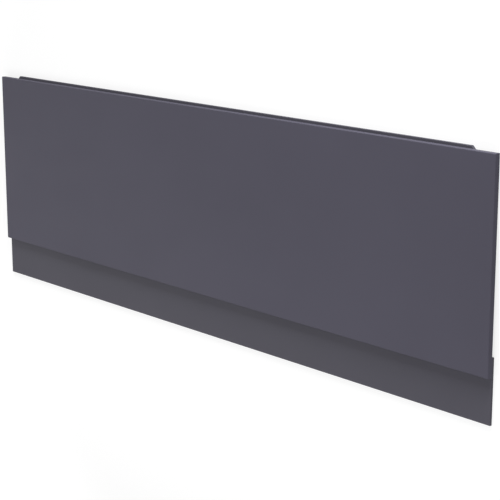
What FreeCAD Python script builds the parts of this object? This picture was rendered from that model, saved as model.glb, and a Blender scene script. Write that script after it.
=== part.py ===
"""Bath front panel, lying flat on its back: a facing board, a set-back plinth and a top rail.

Millimetres. +X runs along the panel, +Y to the edge that goes under the bath rim, +Z out of the
front face. The origin is the middle of the whole outline, on the plane that the backs lie on.
"""
import FreeCAD, Part
import os
import Sketcher

# Driving dimensions: name, size, what it measures
DIMENSIONS = (
    ("panel_length", 1700, "facing board, end to end"),
    ("panel_height", 445, "facing board, bottom edge to top edge"),
    ("panel_thick", 12, "facing board, back to front"),
    ("panel_round", 2, "pencil round along the facing board's front edges"),
    ("backing_thick", 6, "board that the plinth and the rail are cut from"),
    ("backing_round", 1, "eased front edges of the plinth and the rail"),
    ("plinth_drop", 99, "plinth that shows below the facing board"),
    ("plinth_lap", 41, "plinth that is fixed behind the facing board"),
    ("rail_rise", 6, "rail that stands above the facing board"),
    ("rail_lap", 44, "rail that is fixed behind the facing board"),
    ("rail_gap", 60, "facing board's end to the rail's end, the same at both ends"),
    ("rail_corner", 10, "corner cut off each end of the rail's top edge"),
)

# Where the edges of the boards lie along Y
OUTLINE_FOOT = "-(Sizes.panel_height + Sizes.plinth_drop + Sizes.rail_rise) / 2"
PANEL_FOOT = OUTLINE_FOOT + " + Sizes.plinth_drop"
PANEL_TOP = PANEL_FOOT + " + Sizes.panel_height"
PANEL_LEFT_END = "-Sizes.panel_length / 2"

# Points closer than this are taken to lie on one plane
SAME_PLANE = 1e-6


def make_sizes(doc):
    """The sheet of driving dimensions that every board reads."""
    sheet = doc.addObject("Spreadsheet::Sheet", "Sizes")
    for row, (name, size, meaning) in enumerate(DIMENSIONS, start=1):
        sheet.set(f"A{row}", meaning)
        sheet.set(f"B{row}", str(size))
        sheet.setAlias(f"B{row}", name)
    doc.recompute()


def draw_rectangle(sketch, length, height):
    """A rectangle with its lower left corner on the sketch's origin."""
    along = FreeCAD.Vector(float(sketch.evalExpression(length)), 0, 0)
    across = FreeCAD.Vector(0, float(sketch.evalExpression(height)), 0)
    corners = [FreeCAD.Vector(), along, along + across, across]
    for start, end in zip(corners, corners[1:] + corners[:1]):
        sketch.addGeometry(Part.LineSegment(start, end), False)
    bottom, right, top, left = range(4)
    start_point, end_point, origin = 1, 2, -1
    for side, following in ((bottom, right), (right, top), (top, left), (left, bottom)):
        sketch.addConstraint(Sketcher.Constraint("Coincident", side, end_point, following, start_point))
    for side in (bottom, top):
        sketch.addConstraint(Sketcher.Constraint("Horizontal", side))
    for side in (left, right):
        sketch.addConstraint(Sketcher.Constraint("Vertical", side))
    sketch.addConstraint(Sketcher.Constraint("Coincident", bottom, start_point, origin, start_point))
    drawn_sizes = (
        ("Length", "DistanceX", bottom, along.Length, length),
        ("Height", "DistanceY", right, across.Length, height),
    )
    for name, kind, side, drawn, size in drawn_sizes:
        distance = Sketcher.Constraint(kind, side, start_point, side, end_point, drawn)
        index = sketch.addConstraint(distance)
        sketch.renameConstraint(index, name)
        sketch.setExpression(f"Constraints.{name}", size)


def edges_on(solid, **planes):
    """Names of the edges that lie wholly on the given planes, each an axis and a place along it."""
    def lies_on(edge):
        return all(abs(getattr(vertex, axis) - place) < SAME_PLANE
                   for vertex in edge.Vertexes for axis, place in planes.items())
    return [f"Edge{number}" for number, edge in enumerate(solid.Edges, start=1) if lies_on(edge)]


def front_edges(solid):
    """The edges that go round the front face, the one at the greatest height."""
    return edges_on(solid, Z=solid.BoundBox.ZMax)


def top_corners(solid):
    """The edges through the thickness at the two ends of the top edge."""
    box = solid.BoundBox
    return edges_on(solid, X=box.XMin, Y=box.YMax) + edges_on(solid, X=box.XMax, Y=box.YMax)


def make_board(doc, name, length, height, thick, edge_round, corner, corner_cut=None):
    """A flat board with rounded front edges, its lower left back corner at the given place."""
    body = doc.addObject("PartDesign::Body", name)
    body.Label = name
    sketch = body.newObject("Sketcher::SketchObject", name + "_outline")
    flat = next(plane for plane in body.Origin.OriginFeatures if plane.Role == "XY_Plane")
    sketch.AttachmentSupport = [(flat, "")]
    sketch.MapMode = "FlatFace"
    draw_rectangle(sketch, length, height)

    pad = body.newObject("PartDesign::Pad", name + "_thickness")
    pad.Profile = sketch
    pad.setExpression("Length", thick)
    doc.recompute()

    blank = pad
    if corner_cut:
        blank = body.newObject("PartDesign::Chamfer", name + "_corners")
        blank.Base = (pad, top_corners(pad.Shape))
        blank.setExpression("Size", corner_cut)
        doc.recompute()

    rounding = body.newObject("PartDesign::Fillet", name + "_rounding")
    rounding.Base = (blank, front_edges(blank.Shape))
    rounding.setExpression("Radius", edge_round)
    for axis, place in zip("xyz", corner):
        body.setExpression(f"Placement.Base.{axis}", place)
    return body


def make_bath_panel(doc):
    """The three boards, glued and pinned back to front where they lap."""
    facing = make_board(
        doc, "front_panel",
        length="Sizes.panel_length",
        height="Sizes.panel_height",
        thick="Sizes.panel_thick",
        edge_round="Sizes.panel_round",
        corner=(PANEL_LEFT_END, PANEL_FOOT, "Sizes.backing_thick"),
    )
    plinth = make_board(
        doc, "plinth",
        length="Sizes.panel_length",
        height="Sizes.plinth_drop + Sizes.plinth_lap",
        thick="Sizes.backing_thick",
        edge_round="Sizes.backing_round",
        corner=(PANEL_LEFT_END, OUTLINE_FOOT, "0"),
    )
    rail = make_board(
        doc, "top_rail",
        length="Sizes.panel_length - 2 * Sizes.rail_gap",
        height="Sizes.rail_rise + Sizes.rail_lap",
        thick="Sizes.backing_thick",
        edge_round="Sizes.backing_round",
        corner=(PANEL_LEFT_END + " + Sizes.rail_gap", PANEL_TOP + " - Sizes.rail_lap", "0"),
        corner_cut="Sizes.rail_corner",
    )
    return facing, plinth, rail


def check(doc, boards):
    """Stops on any failed feature and on any board that is not one sound solid."""
    for item in doc.Objects:
        if "Invalid" in item.State or "Error" in item.State:
            raise RuntimeError(f"{item.Label} did not build: {item.State}")
    for board in boards:
        if board.Shape.isNull() or not board.Shape.isValid() or len(board.Shape.Solids) != 1:
            raise RuntimeError(f"{board.Label} is not one sound solid")


document = FreeCAD.newDocument("bath_panel")
make_sizes(document)
pieces = make_bath_panel(document)
document.recompute()
check(document, pieces)

os.makedirs("parts", exist_ok=True)
for piece in pieces:
    piece.Shape.exportStep(f"parts/{piece.Label}.step")
    box = piece.Shape.BoundBox
    print(piece.Label, f"{box.XLength:.1f} x {box.YLength:.1f} x {box.ZLength:.1f}",
          f"from ({box.XMin:.1f}, {box.YMin:.1f}, {box.ZMin:.1f})")
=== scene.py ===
"""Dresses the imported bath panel: three boards in satin grey foil, lying face up on a pale floor."""
import math

import bpy
from bpy.props import FloatProperty, FloatVectorProperty, IntProperty, PointerProperty
from mathutils import Matrix, Vector


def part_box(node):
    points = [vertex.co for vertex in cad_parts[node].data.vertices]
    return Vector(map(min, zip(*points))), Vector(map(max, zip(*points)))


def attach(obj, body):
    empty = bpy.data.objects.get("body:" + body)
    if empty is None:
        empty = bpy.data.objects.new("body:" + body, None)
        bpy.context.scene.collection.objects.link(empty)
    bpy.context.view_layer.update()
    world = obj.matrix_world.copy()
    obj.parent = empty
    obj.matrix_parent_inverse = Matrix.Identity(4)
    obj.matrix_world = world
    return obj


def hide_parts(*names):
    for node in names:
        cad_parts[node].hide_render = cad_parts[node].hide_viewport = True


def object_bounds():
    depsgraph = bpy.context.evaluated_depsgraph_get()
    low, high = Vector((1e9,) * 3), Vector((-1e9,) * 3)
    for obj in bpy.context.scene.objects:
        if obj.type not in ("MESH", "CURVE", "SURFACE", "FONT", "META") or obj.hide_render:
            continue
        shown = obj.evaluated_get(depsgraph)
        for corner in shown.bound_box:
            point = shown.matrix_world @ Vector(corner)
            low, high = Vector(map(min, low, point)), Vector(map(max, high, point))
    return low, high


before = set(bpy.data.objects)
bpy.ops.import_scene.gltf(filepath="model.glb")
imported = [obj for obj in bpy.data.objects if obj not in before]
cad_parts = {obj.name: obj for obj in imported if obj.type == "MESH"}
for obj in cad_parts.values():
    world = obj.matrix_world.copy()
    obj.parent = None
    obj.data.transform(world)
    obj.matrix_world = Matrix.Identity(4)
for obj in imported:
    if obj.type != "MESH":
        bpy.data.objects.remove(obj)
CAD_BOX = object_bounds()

bl_info = {
    "name": "Bath Panel",
    "version": (1, 0, 0),
    "blender": (4, 5, 0),
    "location": "3D View > Sidebar > Bath Panel",
    "description": "Models a foil-wrapped bath panel, its plinth and its top rail, on a plain stage",
    "category": "Add Mesh",
}

BODY = "root"
PANEL_NODE = "front_panel"
PLINTH_NODE = "plinth"
RAIL_NODE = "top_rail"

# Points closer than this are taken to lie on one plane
SAME_PLANE = 1e-5

# Faces that meet at a flatter angle than this are shaded as one
SMOOTH_ANGLE = math.radians(40.0)

# Scale of a noise along, across and through a board: a low scale along it draws the noise out lengthwise
EVEN_STRETCH = (1.0, 1.0, 1.0)
SMEAR_STRETCH = (0.3, 1.0, 1.0)
FIBRE_STRETCH = (0.15, 1.0, 1.0)

# Values that most of a noise lies between
NOISE_LOW = 0.3
NOISE_HIGH = 0.7

# Keeps the floor off the plane that the boards' backs lie on
FLOOR_GAP = 0.0002

# Strength at which the seen sky is white
WHITE_LEVEL = 1.0

UPWARDS = Vector((0.0, 0.0, 1.0))

# Width of the camera's sensor, in millimetres
SENSOR_WIDTH = 36.0

# Soft lamps aimed at the middle of the panel: name, bearing from +X and elevation in degrees,
# then reach, width and height in metres, and level
SOFTBOXES = (
    ("top_softbox", 90.0, 22.0, 3.0, 2.6, 0.9, 0.725),
    ("right_top_strip", 55.0, 8.0, 1.8, 0.8, 0.3, 0.64),
    ("foot_softbox", 270.0, 50.0, 1.0, 2.0, 0.4, 0.415),
    ("right_foot_strip", 330.0, 15.0, 1.8, 0.8, 0.4, 0.18),
    ("left_softbox", 200.0, 30.0, 1.6, 0.8, 0.6, 0.08),
    ("left_end_softbox", 180.0, 12.0, 2.2, 1.0, 0.6, 0.036),
)


class BoardShape(bpy.types.PropertyGroup):
    """Edges of the three boards. Their outlines come from the CAD parts in model.glb."""

    panel_round: FloatProperty(
        name="Panel round",
        description="Radius of the pencil round along the facing board's front edges",
        default=0.002, min=0.0005, unit="LENGTH",
    )
    backing_round: FloatProperty(
        name="Backing round",
        description="Radius of the eased front edges of the plinth and the rail",
        default=0.001, min=0.0002, unit="LENGTH",
    )
    rail_corner: FloatProperty(
        name="Rail corner",
        description="Corner cut off each end of the rail's top edge",
        default=0.010, min=0.001, unit="LENGTH",
    )
    back_ease: FloatProperty(
        name="Back ease",
        description="Radius of the corners and back edges, where the foil is pressed round the board",
        default=0.0004, min=0.0001, unit="LENGTH",
    )
    round_segments: IntProperty(
        name="Round segments",
        description="Faces across each rounded edge",
        default=6, min=1,
    )
    foil_lip: FloatProperty(
        name="Foil lip",
        description="Width of the foil that laps onto the back of a board",
        default=0.0025, min=0.0005, unit="LENGTH",
    )
    foil_thick: FloatProperty(
        name="Foil thickness",
        description="Step from the lapped foil down to the backing paper",
        default=0.0003, min=0.00005, unit="LENGTH",
    )


class BoardFinish(bpy.types.PropertyGroup):
    """Foil on the fronts and edges, and paper on the backs."""

    panel_colour: FloatVectorProperty(
        name="Panel colour",
        description="Foil on the facing board",
        default=(0.078, 0.0742, 0.1005), min=0.0, max=1.0, size=3, subtype="COLOR",
    )
    backing_colour: FloatVectorProperty(
        name="Backing colour",
        description="Foil on the plinth and the rail",
        default=(0.077, 0.0741, 0.0925), min=0.0, max=1.0, size=3, subtype="COLOR",
    )
    tone_spread: FloatProperty(
        name="Tone spread",
        description="How far the foil's tone drifts over a board, as a share of its colour",
        default=0.03, min=0.0, max=0.5, subtype="FACTOR",
    )
    tone_size: FloatProperty(
        name="Tone size",
        description="Distance over which the foil's tone drifts",
        default=0.35, min=0.01, unit="LENGTH",
    )
    specular: FloatProperty(
        name="Foil specular",
        description="Strength of the foil's reflections",
        default=0.12, min=0.0, max=1.0, subtype="FACTOR",
    )
    sheen_roughness: FloatProperty(
        name="Foil roughness",
        description="Middle of the foil's roughness: lower is glossier",
        default=0.55, min=0.0, max=1.0, subtype="FACTOR",
    )
    sheen_spread: FloatProperty(
        name="Sheen spread",
        description="How far the foil's roughness wanders to either side of its middle",
        default=0.02, min=0.0, max=0.5, subtype="FACTOR",
    )
    smear_size: FloatProperty(
        name="Smear size",
        description="Distance between the smears in the foil's sheen, across a board",
        default=0.06, min=0.001, unit="LENGTH",
    )
    ripple_size: FloatProperty(
        name="Ripple size",
        description="Distance between the foil's low ripples",
        default=0.0035, min=0.0005, unit="LENGTH",
    )
    ripple_height: FloatProperty(
        name="Ripple height",
        description="Height of the foil's low ripples",
        default=0.00002, min=0.0, unit="LENGTH",
    )
    paper_colour: FloatVectorProperty(
        name="Paper colour",
        description="Balancing paper on the backs of the boards",
        default=(0.105, 0.102, 0.112), min=0.0, max=1.0, size=3, subtype="COLOR",
    )
    paper_specular: FloatProperty(
        name="Paper specular",
        description="Strength of the paper's reflections",
        default=0.2, min=0.0, max=1.0, subtype="FACTOR",
    )
    paper_roughness: FloatProperty(
        name="Paper roughness",
        description="Roughness of the paper: higher is more matt",
        default=0.75, min=0.0, max=1.0, subtype="FACTOR",
    )
    fibre_spread: FloatProperty(
        name="Fibre spread",
        description="How much darker and lighter the paper's fibres run, as a share of its colour",
        default=0.12, min=0.0, max=0.5, subtype="FACTOR",
    )
    fibre_size: FloatProperty(
        name="Fibre size",
        description="Distance between the paper's fibres, across a board",
        default=0.002, min=0.0002, unit="LENGTH",
    )
    fibre_height: FloatProperty(
        name="Fibre height",
        description="Height of the paper's fibres",
        default=0.00004, min=0.0, unit="LENGTH",
    )


class StudioStage(bpy.types.PropertyGroup):
    """Floor, sky and camera."""

    floor_size: FloatProperty(
        name="Floor size",
        description="Side of the floor",
        default=60.0, min=1.0, unit="LENGTH",
    )
    floor_tone: FloatProperty(
        name="Floor tone",
        description="Share of light that the floor throws back onto the boards",
        default=0.35, min=0.0, max=1.0, subtype="FACTOR",
    )
    floor_glow: FloatProperty(
        name="Floor glow",
        description="What lifts the seen floor to white by the boards, where the lamps light it too",
        default=0.72, min=0.0, max=1.0, subtype="FACTOR",
    )
    far_glow: FloatProperty(
        name="Far glow",
        description="What lifts the seen floor to white beyond the lamps",
        default=0.92, min=0.0, max=1.0, subtype="FACTOR",
    )
    glow_start: FloatProperty(
        name="Glow start",
        description="Distance from the middle at which the glow begins to rise: the ends of the boards",
        default=CAD_BOX[1].x, min=0.0, unit="LENGTH",
    )
    glow_end: FloatProperty(
        name="Glow end",
        description="Distance from the middle at which the glow has risen to the far glow",
        default=1.4, min=0.0, unit="LENGTH",
    )
    sky_level: FloatProperty(
        name="Sky level",
        description="Even light from all round",
        default=0.25, min=0.0, max=2.0,
    )
    target: FloatVectorProperty(
        name="Camera target",
        description="Point of the front face in the middle of the picture",
        default=(0.1560, -0.0374, CAD_BOX[1].z), size=3, subtype="XYZ", unit="LENGTH",
    )
    bearing: FloatProperty(
        name="Camera bearing",
        description="Turn of the camera round the panel, from its right-hand end",
        default=math.radians(17.357), unit="ROTATION",
    )
    elevation: FloatProperty(
        name="Camera elevation",
        description="Height of the camera above the floor, as an angle",
        default=math.radians(40.498), unit="ROTATION",
    )
    roll: FloatProperty(
        name="Camera roll",
        description="Turn of the picture that puts the panel's top edge at the top",
        default=math.radians(101.476), unit="ROTATION",
    )
    distance: FloatProperty(
        name="Camera distance",
        description="Camera to target",
        default=3.3981, min=0.1, unit="LENGTH",
    )
    lens: FloatProperty(
        name="Camera lens",
        description="Focal length on a sensor 36 mm wide",
        default=108.16, min=1.0, unit="CAMERA",
    )


# Nodes

def grey(level):
    return (level, level, level, 1.0)


def add_node(tree, kind, **settings):
    """A node of a material or world, with the given settings of its own."""
    node = tree.nodes.new(kind)
    for name, value in settings.items():
        setattr(node, name, value)
    return node


def new_material(name):
    """An empty node material and the node that it ends in."""
    material = bpy.data.materials.new(name)
    material.use_nodes = True
    material.node_tree.nodes.clear()
    output = add_node(material.node_tree, "ShaderNodeOutputMaterial")
    return material, output


def new_finish(name, specular):
    """A node material of one shader, with even reflections of the given strength."""
    material, output = new_material(name)
    tree = material.node_tree
    shader = add_node(tree, "ShaderNodeBsdfPrincipled")
    shader.inputs["Specular IOR Level"].default_value = specular
    tree.links.new(shader.outputs["BSDF"], output.inputs["Surface"])
    return material, shader


def object_noise(tree, size, detail, stretch=EVEN_STRETCH):
    """Noise of a given cell size in metres, fixed to the board."""
    place = add_node(tree, "ShaderNodeTexCoord")
    mapping = add_node(tree, "ShaderNodeMapping")
    mapping.inputs["Scale"].default_value = stretch
    noise = add_node(tree, "ShaderNodeTexNoise")
    noise.inputs["Scale"].default_value = 1.0 / size
    noise.inputs["Detail"].default_value = detail
    tree.links.new(place.outputs["Object"], mapping.inputs["Vector"])
    tree.links.new(mapping.outputs["Vector"], noise.inputs["Vector"])
    return noise.outputs["Fac"]


def map_range(tree, source, old_range, new_range, **settings):
    """Carries a value over from one range to another."""
    carry = add_node(tree, "ShaderNodeMapRange", **settings)
    ends = ("From Min", "From Max", "To Min", "To Max")
    for end, value in zip(ends, (*old_range, *new_range)):
        carry.inputs[end].default_value = value
    tree.links.new(source, carry.inputs["Value"])
    return carry.outputs["Result"]


def spread_noise(tree, noise, low, high):
    """Spreads the middle of a noise over a range of values."""
    return map_range(tree, noise, (NOISE_LOW, NOISE_HIGH), (low, high))


def shaded_colour(tree, colour, spread, noise):
    """A colour that runs a little darker and lighter with a noise."""
    mix = add_node(tree, "ShaderNodeMix", data_type="RGBA")
    tints = [socket for socket in mix.inputs if socket.type == "RGBA"]
    for socket, share in zip(tints, (1.0 - spread, 1.0 + spread)):
        socket.default_value = (*(channel * share for channel in colour), 1.0)
    tree.links.new(spread_noise(tree, noise, 0.0, 1.0), mix.inputs["Factor"])
    return next(socket for socket in mix.outputs if socket.type == "RGBA")


def raise_surface(tree, shader, noise, height):
    """Raises a noise on a shader's surface, as a bump of the given height in metres."""
    bump = add_node(tree, "ShaderNodeBump")
    bump.inputs["Distance"].default_value = height
    tree.links.new(noise, bump.inputs["Height"])
    tree.links.new(bump.outputs["Normal"], shader.inputs["Normal"])


def satin_foil(name, colour, finish):
    """Smooth wrapped foil: an even colour with a faint drift, low ripples and an uneven sheen."""
    material, shader = new_finish(name, finish.specular)
    tree = material.node_tree
    drift = object_noise(tree, finish.tone_size, detail=3.0)
    tone = shaded_colour(tree, colour, finish.tone_spread, drift)
    tree.links.new(tone, shader.inputs["Base Color"])

    smears = object_noise(tree, finish.smear_size, detail=4.0, stretch=SMEAR_STRETCH)
    glossiest = finish.sheen_roughness - finish.sheen_spread
    dullest = finish.sheen_roughness + finish.sheen_spread
    tree.links.new(spread_noise(tree, smears, glossiest, dullest), shader.inputs["Roughness"])

    ripples = object_noise(tree, finish.ripple_size, detail=2.0)
    raise_surface(tree, shader, ripples, finish.ripple_height)
    return material


def backing_paper(name, finish):
    """Matt balancing paper on the back of a board, with short fibres along its length."""
    material, shader = new_finish(name, finish.paper_specular)
    tree = material.node_tree
    shader.inputs["Roughness"].default_value = finish.paper_roughness
    fibres = object_noise(tree, finish.fibre_size, detail=3.0, stretch=FIBRE_STRETCH)
    tone = shaded_colour(tree, finish.paper_colour, finish.fibre_spread, fibres)
    tree.links.new(tone, shader.inputs["Base Color"])
    raise_surface(tree, shader, fibres, finish.fibre_height)
    return material


def seen_by_eye(tree):
    """1 for what is seen straight, mirrored or through glass, and 0 for light thrown onto the boards."""
    path = add_node(tree, "ShaderNodeLightPath")
    seen = path.outputs["Is Camera Ray"]
    for kind in ("Is Glossy Ray", "Is Transmission Ray"):
        either = add_node(tree, "ShaderNodeMath", operation="MAXIMUM")
        tree.links.new(seen, either.inputs[0])
        tree.links.new(path.outputs[kind], either.inputs[1])
        seen = either.outputs["Value"]
    return seen


def show_to_eye(tree, thrown, seen, output):
    """Ends in one shader for the light thrown onto the boards and another for what is seen."""
    choice = add_node(tree, "ShaderNodeMixShader")
    tree.links.new(seen_by_eye(tree), choice.inputs["Fac"])
    tree.links.new(thrown, choice.inputs[1])
    tree.links.new(seen, choice.inputs[2])
    tree.links.new(choice.outputs["Shader"], output.inputs["Surface"])


def pale_floor(stage):
    """A white floor that keeps the boards' soft shadow and throws little light back on them."""
    material, output = new_material("pale_floor")
    tree = material.node_tree
    matt = add_node(tree, "ShaderNodeBsdfDiffuse")
    matt.inputs["Color"].default_value = grey(stage.floor_tone)

    place = add_node(tree, "ShaderNodeTexCoord")
    reach = add_node(tree, "ShaderNodeVectorMath", operation="LENGTH")
    tree.links.new(place.outputs["Object"], reach.inputs[0])
    lift = map_range(tree, reach.outputs["Value"], (stage.glow_start, stage.glow_end),
                     (stage.floor_glow, stage.far_glow), interpolation_type="SMOOTHSTEP")
    glow = add_node(tree, "ShaderNodeEmission")
    tree.links.new(lift, glow.inputs["Strength"])

    lifted = add_node(tree, "ShaderNodeAddShader")
    tree.links.new(matt.outputs["BSDF"], lifted.inputs[0])
    tree.links.new(glow.outputs["Emission"], lifted.inputs[1])
    show_to_eye(tree, matt.outputs["BSDF"], lifted.outputs["Shader"], output)
    return material


# Boards

def must_finish(result):
    """Stops the script where one of Blender's own modelling steps did nothing."""
    if result != {"FINISHED"}:
        raise RuntimeError("a modelling step did nothing")


def into_edit_mode(board, kind, chosen):
    """Opens a board for editing with only the chosen edges or faces selected."""
    bpy.context.tool_settings.mesh_select_mode = (False, kind == "edges", kind == "polygons")
    for part in ("vertices", "edges", "polygons"):
        for item in getattr(board.data, part):
            item.select = False
    for item in chosen:
        item.select = True
    bpy.ops.object.mode_set(mode="EDIT")


def apply_modifier(kind, **settings):
    """Adds a modifier to the active board and makes it part of the mesh."""
    bpy.ops.object.modifier_add(type=kind)
    modifier = bpy.context.object.modifiers[-1]
    for name, value in settings.items():
        setattr(modifier, name, value)
    must_finish(bpy.ops.object.modifier_apply(modifier=modifier.name))


def edge_ends(board, edge):
    """The two points that an edge joins."""
    return [board.data.vertices[index].co for index in edge.vertices]


def cut_top_corners(board, size):
    """Cuts a corner off each end of a board's top edge."""
    top = max(vertex.co.y for vertex in board.data.vertices)
    corners = []
    for edge in board.data.edges:
        start, end = edge_ends(board, edge)
        if min(start.y, end.y) > top - SAME_PLANE and abs(start.x - end.x) < SAME_PLANE:
            corners.append(edge)
    into_edit_mode(board, "edges", corners)
    must_finish(bpy.ops.mesh.bevel(offset=size, segments=1, affect="EDGES"))
    bpy.ops.object.mode_set(mode="OBJECT")


def weigh_edges(board, chosen, weight):
    """Marks edges with their share of the widest rounding."""
    into_edit_mode(board, "edges", chosen)
    must_finish(bpy.ops.transform.edge_bevelweight(value=weight))
    bpy.ops.object.mode_set(mode="OBJECT")


def round_edges(board, front_round, shape):
    """Rounds a board's front edges in full, and eases its corners and back edges."""
    front = max(vertex.co.z for vertex in board.data.vertices)

    def on_front(edge):
        return min(end.z for end in edge_ends(board, edge)) > front - SAME_PLANE

    weigh_edges(board, [edge for edge in board.data.edges if on_front(edge)], 1.0)
    eased_share = shape.back_ease / front_round
    weigh_edges(board, [edge for edge in board.data.edges if not on_front(edge)], eased_share)
    apply_modifier("BEVEL", limit_method="WEIGHT", width=front_round, segments=shape.round_segments)


def paper_back(board, paper, shape):
    """Steps a board's back down from a lip of foil to the paper. The back is its largest lower face."""
    paper_index = board.data.materials.find(paper.name)
    lower_faces = [face for face in board.data.polygons if face.normal.z < 0.0]
    back = max(lower_faces, key=lambda face: face.area)
    into_edit_mode(board, "polygons", [back])
    must_finish(bpy.ops.mesh.inset(thickness=shape.foil_lip, depth=-shape.foil_thick))
    board.active_material_index = paper_index
    must_finish(bpy.ops.object.material_slot_assign())
    bpy.ops.object.mode_set(mode="OBJECT")


def check_size(board, low, high):
    """Stops the script where a board doesn't fill the box of the node that it stands for."""
    for axis in range(3):
        places = [vertex.co[axis] for vertex in board.data.vertices]
        if max(abs(min(places) - low[axis]), abs(max(places) - high[axis])) > SAME_PLANE:
            raise RuntimeError(f"{board.name} doesn't fill its node's box")


def model_board(name, node, front_round, shape, foil, paper, corner_cut=0.0):
    """A foil-wrapped board with rounded front edges and a thin step where the foil ends on its back."""
    low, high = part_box(node)
    bpy.ops.object.select_all(action="DESELECT")
    bpy.ops.mesh.primitive_cube_add(size=1.0, location=(low + high) / 2)
    board = bpy.context.object
    board.name = name
    board.data.name = name
    board.scale = high - low
    bpy.ops.object.transform_apply(location=True, rotation=True, scale=True)
    if corner_cut:
        cut_top_corners(board, corner_cut)
    round_edges(board, front_round, shape)
    for material in (foil, paper):
        board.data.materials.append(material)
    paper_back(board, paper, shape)
    bpy.ops.object.shade_smooth_by_angle(angle=SMOOTH_ANGLE)
    apply_modifier("WEIGHTED_NORMAL", keep_sharp=True)
    check_size(board, low, high)
    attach(board, BODY)
    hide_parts(node)
    return board


class BATHPANEL_OT_facing_board(bpy.types.Operator):
    """Model the facing board, with its pencil-round front edges"""

    bl_idname = "bath_panel.facing_board"
    bl_label = "Facing Board"
    bl_options = {"REGISTER", "UNDO"}

    def execute(self, context):
        shape = context.scene.bath_panel_shape
        finish = context.scene.bath_panel_finish
        foil = satin_foil("panel_foil", finish.panel_colour, finish)
        paper = backing_paper("panel_back_paper", finish)
        board = model_board("facing_board", PANEL_NODE, shape.panel_round, shape, foil, paper)
        return {"FINISHED"}


class BATHPANEL_OT_backing_boards(bpy.types.Operator):
    """Model the two thin boards behind the facing board: the plinth and the top rail"""

    bl_idname = "bath_panel.backing_boards"
    bl_label = "Plinth and Top Rail"
    bl_options = {"REGISTER", "UNDO"}

    def execute(self, context):
        shape = context.scene.bath_panel_shape
        finish = context.scene.bath_panel_finish
        foil = satin_foil("backing_foil", finish.backing_colour, finish)
        paper = backing_paper("backing_back_paper", finish)
        boards = (("plinth_board", PLINTH_NODE, 0.0), ("rail_board", RAIL_NODE, shape.rail_corner))
        for name, node, corner_cut in boards:
            board = model_board(name, node, shape.backing_round, shape, foil, paper, corner_cut)
        return {"FINISHED"}


# Stage

def direction(bearing, elevation):
    """Way out from the middle: bearing turns from +X towards +Y, and elevation rises from the floor."""
    level_share = math.cos(elevation)
    return Vector((
        math.cos(bearing) * level_share,
        math.sin(bearing) * level_share,
        math.sin(elevation),
    ))


def lay_floor(stage):
    """A wide floor just under the boards."""
    bpy.ops.object.select_all(action="DESELECT")
    place = (0.0, 0.0, CAD_BOX[0].z - FLOOR_GAP)
    bpy.ops.mesh.primitive_plane_add(size=stage.floor_size, location=place)
    floor = bpy.context.object
    floor.name = "studio_floor"
    bpy.ops.object.transform_apply(location=True, rotation=True, scale=True)
    floor.data.materials.append(pale_floor(stage))


def light_sky(stage):
    """Even light from all round, which the eye sees as white."""
    world = bpy.data.worlds.new("studio_sky")
    bpy.context.scene.world = world
    world.use_nodes = True
    tree = world.node_tree
    tree.nodes.clear()
    output = add_node(tree, "ShaderNodeOutputWorld")
    skies = []
    for level in (stage.sky_level, WHITE_LEVEL):
        sky = add_node(tree, "ShaderNodeBackground")
        sky.inputs["Color"].default_value = grey(1.0)
        sky.inputs["Strength"].default_value = level
        skies.append(sky.outputs["Background"])
    thrown, seen = skies
    show_to_eye(tree, thrown, seen, output)


def hang_softbox(name, bearing, elevation, reach, width, height, level):
    """A soft lamp, whose level is the share of a written colour that it lights on a face turned to it."""
    place = direction(math.radians(bearing), math.radians(elevation)) * reach
    bpy.ops.object.light_add(type="AREA", location=place)
    lamp = bpy.context.object
    lamp.name = name
    lamp.rotation_mode = "QUATERNION"
    lamp.rotation_quaternion = place.to_track_quat("Z", "Y")
    lamp.data.shape = "RECTANGLE"
    lamp.data.size = width
    lamp.data.size_y = height
    lamp.data.energy = level * (math.pi * reach) ** 2


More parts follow.
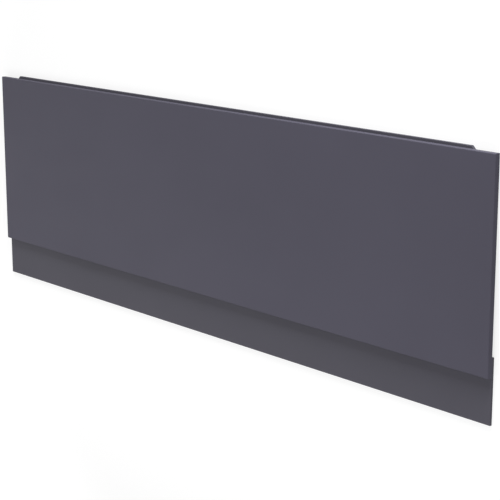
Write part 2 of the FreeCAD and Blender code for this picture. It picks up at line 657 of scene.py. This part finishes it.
def place_camera(stage):
    """Looks down at the front face from beyond its right-hand end, with the top edge uppermost."""
    back = direction(stage.bearing, stage.elevation)
    level_right = UPWARDS.cross(back).normalized()
    level_up = back.cross(level_right)
    up = level_up * math.cos(stage.roll) + level_right * math.sin(stage.roll)
    right = up.cross(back)
    bpy.ops.object.camera_add()
    camera = bpy.context.object
    camera.name = "photo_camera"
    place = Vector(stage.target) + back * stage.distance
    turn = Matrix((right, up, back)).transposed()
    camera.matrix_world = Matrix.Translation(place) @ turn.to_4x4()
    camera.data.sensor_width = SENSOR_WIDTH
    camera.data.lens = stage.lens
    bpy.context.scene.camera = camera


class BATHPANEL_OT_stage(bpy.types.Operator):
    """Set the boards on a pale floor under soft lamps, with a camera at the photograph's angle"""

    bl_idname = "bath_panel.stage"
    bl_label = "Studio Stage"
    bl_options = {"REGISTER", "UNDO"}

    def execute(self, context):
        stage = context.scene.bath_panel_stage
        lay_floor(stage)
        light_sky(stage)
        for softbox in SOFTBOXES:
            hang_softbox(*softbox)
        place_camera(stage)
        context.scene.view_settings.view_transform = "Standard"
        return {"FINISHED"}


class BATHPANEL_PT_sidebar(bpy.types.Panel):
    """Sizes, finishes and steps that make the bath panel"""

    bl_idname = "BATHPANEL_PT_sidebar"
    bl_label = "Bath Panel"
    bl_space_type = "VIEW_3D"
    bl_region_type = "UI"
    bl_category = "Bath Panel"

    def draw(self, context):
        for group_name, group in GROUPS.items():
            box = self.layout.box()
            for name in group.__annotations__:
                box.prop(getattr(context.scene, group_name), name)
        for step in STEPS:
            self.layout.operator(step.bl_idname)


GROUPS = {
    "bath_panel_shape": BoardShape,
    "bath_panel_finish": BoardFinish,
    "bath_panel_stage": StudioStage,
}
STEPS = (BATHPANEL_OT_facing_board, BATHPANEL_OT_backing_boards, BATHPANEL_OT_stage)
CLASSES = (*GROUPS.values(), *STEPS, BATHPANEL_PT_sidebar)


def register():
    for each in CLASSES:
        bpy.utils.register_class(each)
    for name, group in GROUPS.items():
        setattr(bpy.types.Scene, name, PointerProperty(type=group))


def unregister():
    for name in GROUPS:
        delattr(bpy.types.Scene, name)
    for each in reversed(CLASSES):
        bpy.utils.unregister_class(each)


def main():
    register()
    bpy.ops.bath_panel.facing_board()
    bpy.ops.bath_panel.backing_boards()
    bpy.ops.bath_panel.stage()


if __name__ == "__main__":
    main()
